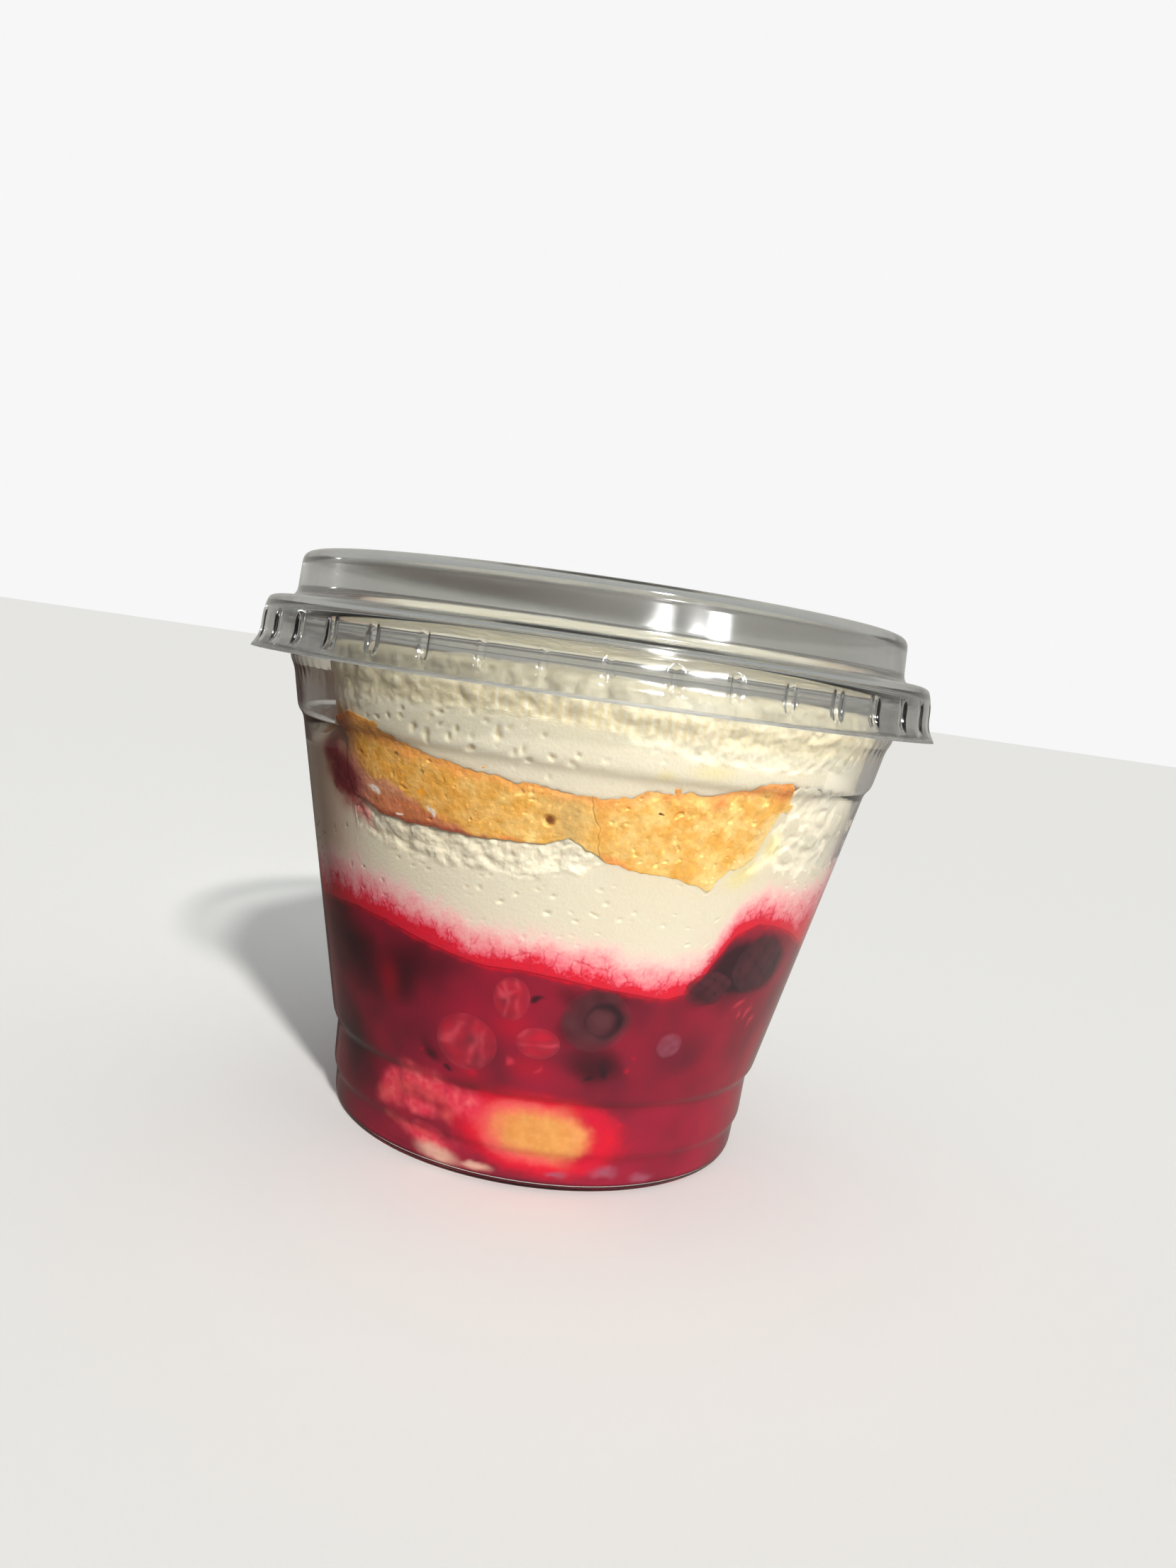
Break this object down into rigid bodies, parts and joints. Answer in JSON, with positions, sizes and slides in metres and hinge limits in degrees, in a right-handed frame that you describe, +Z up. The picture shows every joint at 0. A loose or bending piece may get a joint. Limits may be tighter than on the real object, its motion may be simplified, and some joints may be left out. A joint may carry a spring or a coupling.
{
  "type": "berry tiramisu cup",
  "caption": "Clear lidded dessert cup filled in layers: berry compote, soaked sponge, cream, more sponge and a heap of cream under a flat dome.",
  "frame": {"origin": "middle of the cup's foot ring, on the surface it stands on", "axes": "+Z up along the cup's axis, -Y towards the shown side, +X to that side's right"},
  "size_m": [0.096, 0.096, 0.0758],
  "materials": {
    "cup_clear": "clear gloss PET",
    "lid_clear": "clear gloss PET",
    "whipped_cream": "soft matt cream with air pits",
    "sponge_cake": "open golden crumb with a browned edge",
    "soaked_sponge": "moist crumb stained red from its edges",
    "berry_compote": "wet translucent crimson",
    "blueberry_skin": "dark skin in syrup",
    "redcurrant_skin": "thin translucent skin",
    "dark_berry_skin": "glossy dark drupelets"
  },
  "bodies": {
    "root": {"cup": "cup_clear", "lid": "lid_clear", "cream_top": "whipped_cream", "cream_lower": "whipped_cream", "sponge_upper_left": "sponge_cake", "sponge_upper_right": "sponge_cake", "sponge_bottom_front": "soaked_sponge", "sponge_bottom_left": "soaked_sponge", "berry_compote": "berry_compote", "blueberry": "blueberry_skin", "redcurrant_large": "redcurrant_skin", "redcurrant_upper": "redcurrant_skin", "redcurrant_small": "redcurrant_skin", "redcurrant_pale": "redcurrant_skin", "dark_berry_right": "dark_berry_skin", "dark_berry_right_low": "dark_berry_skin", "dark_berry_left": "dark_berry_skin"}
  },
  "joints": []
}
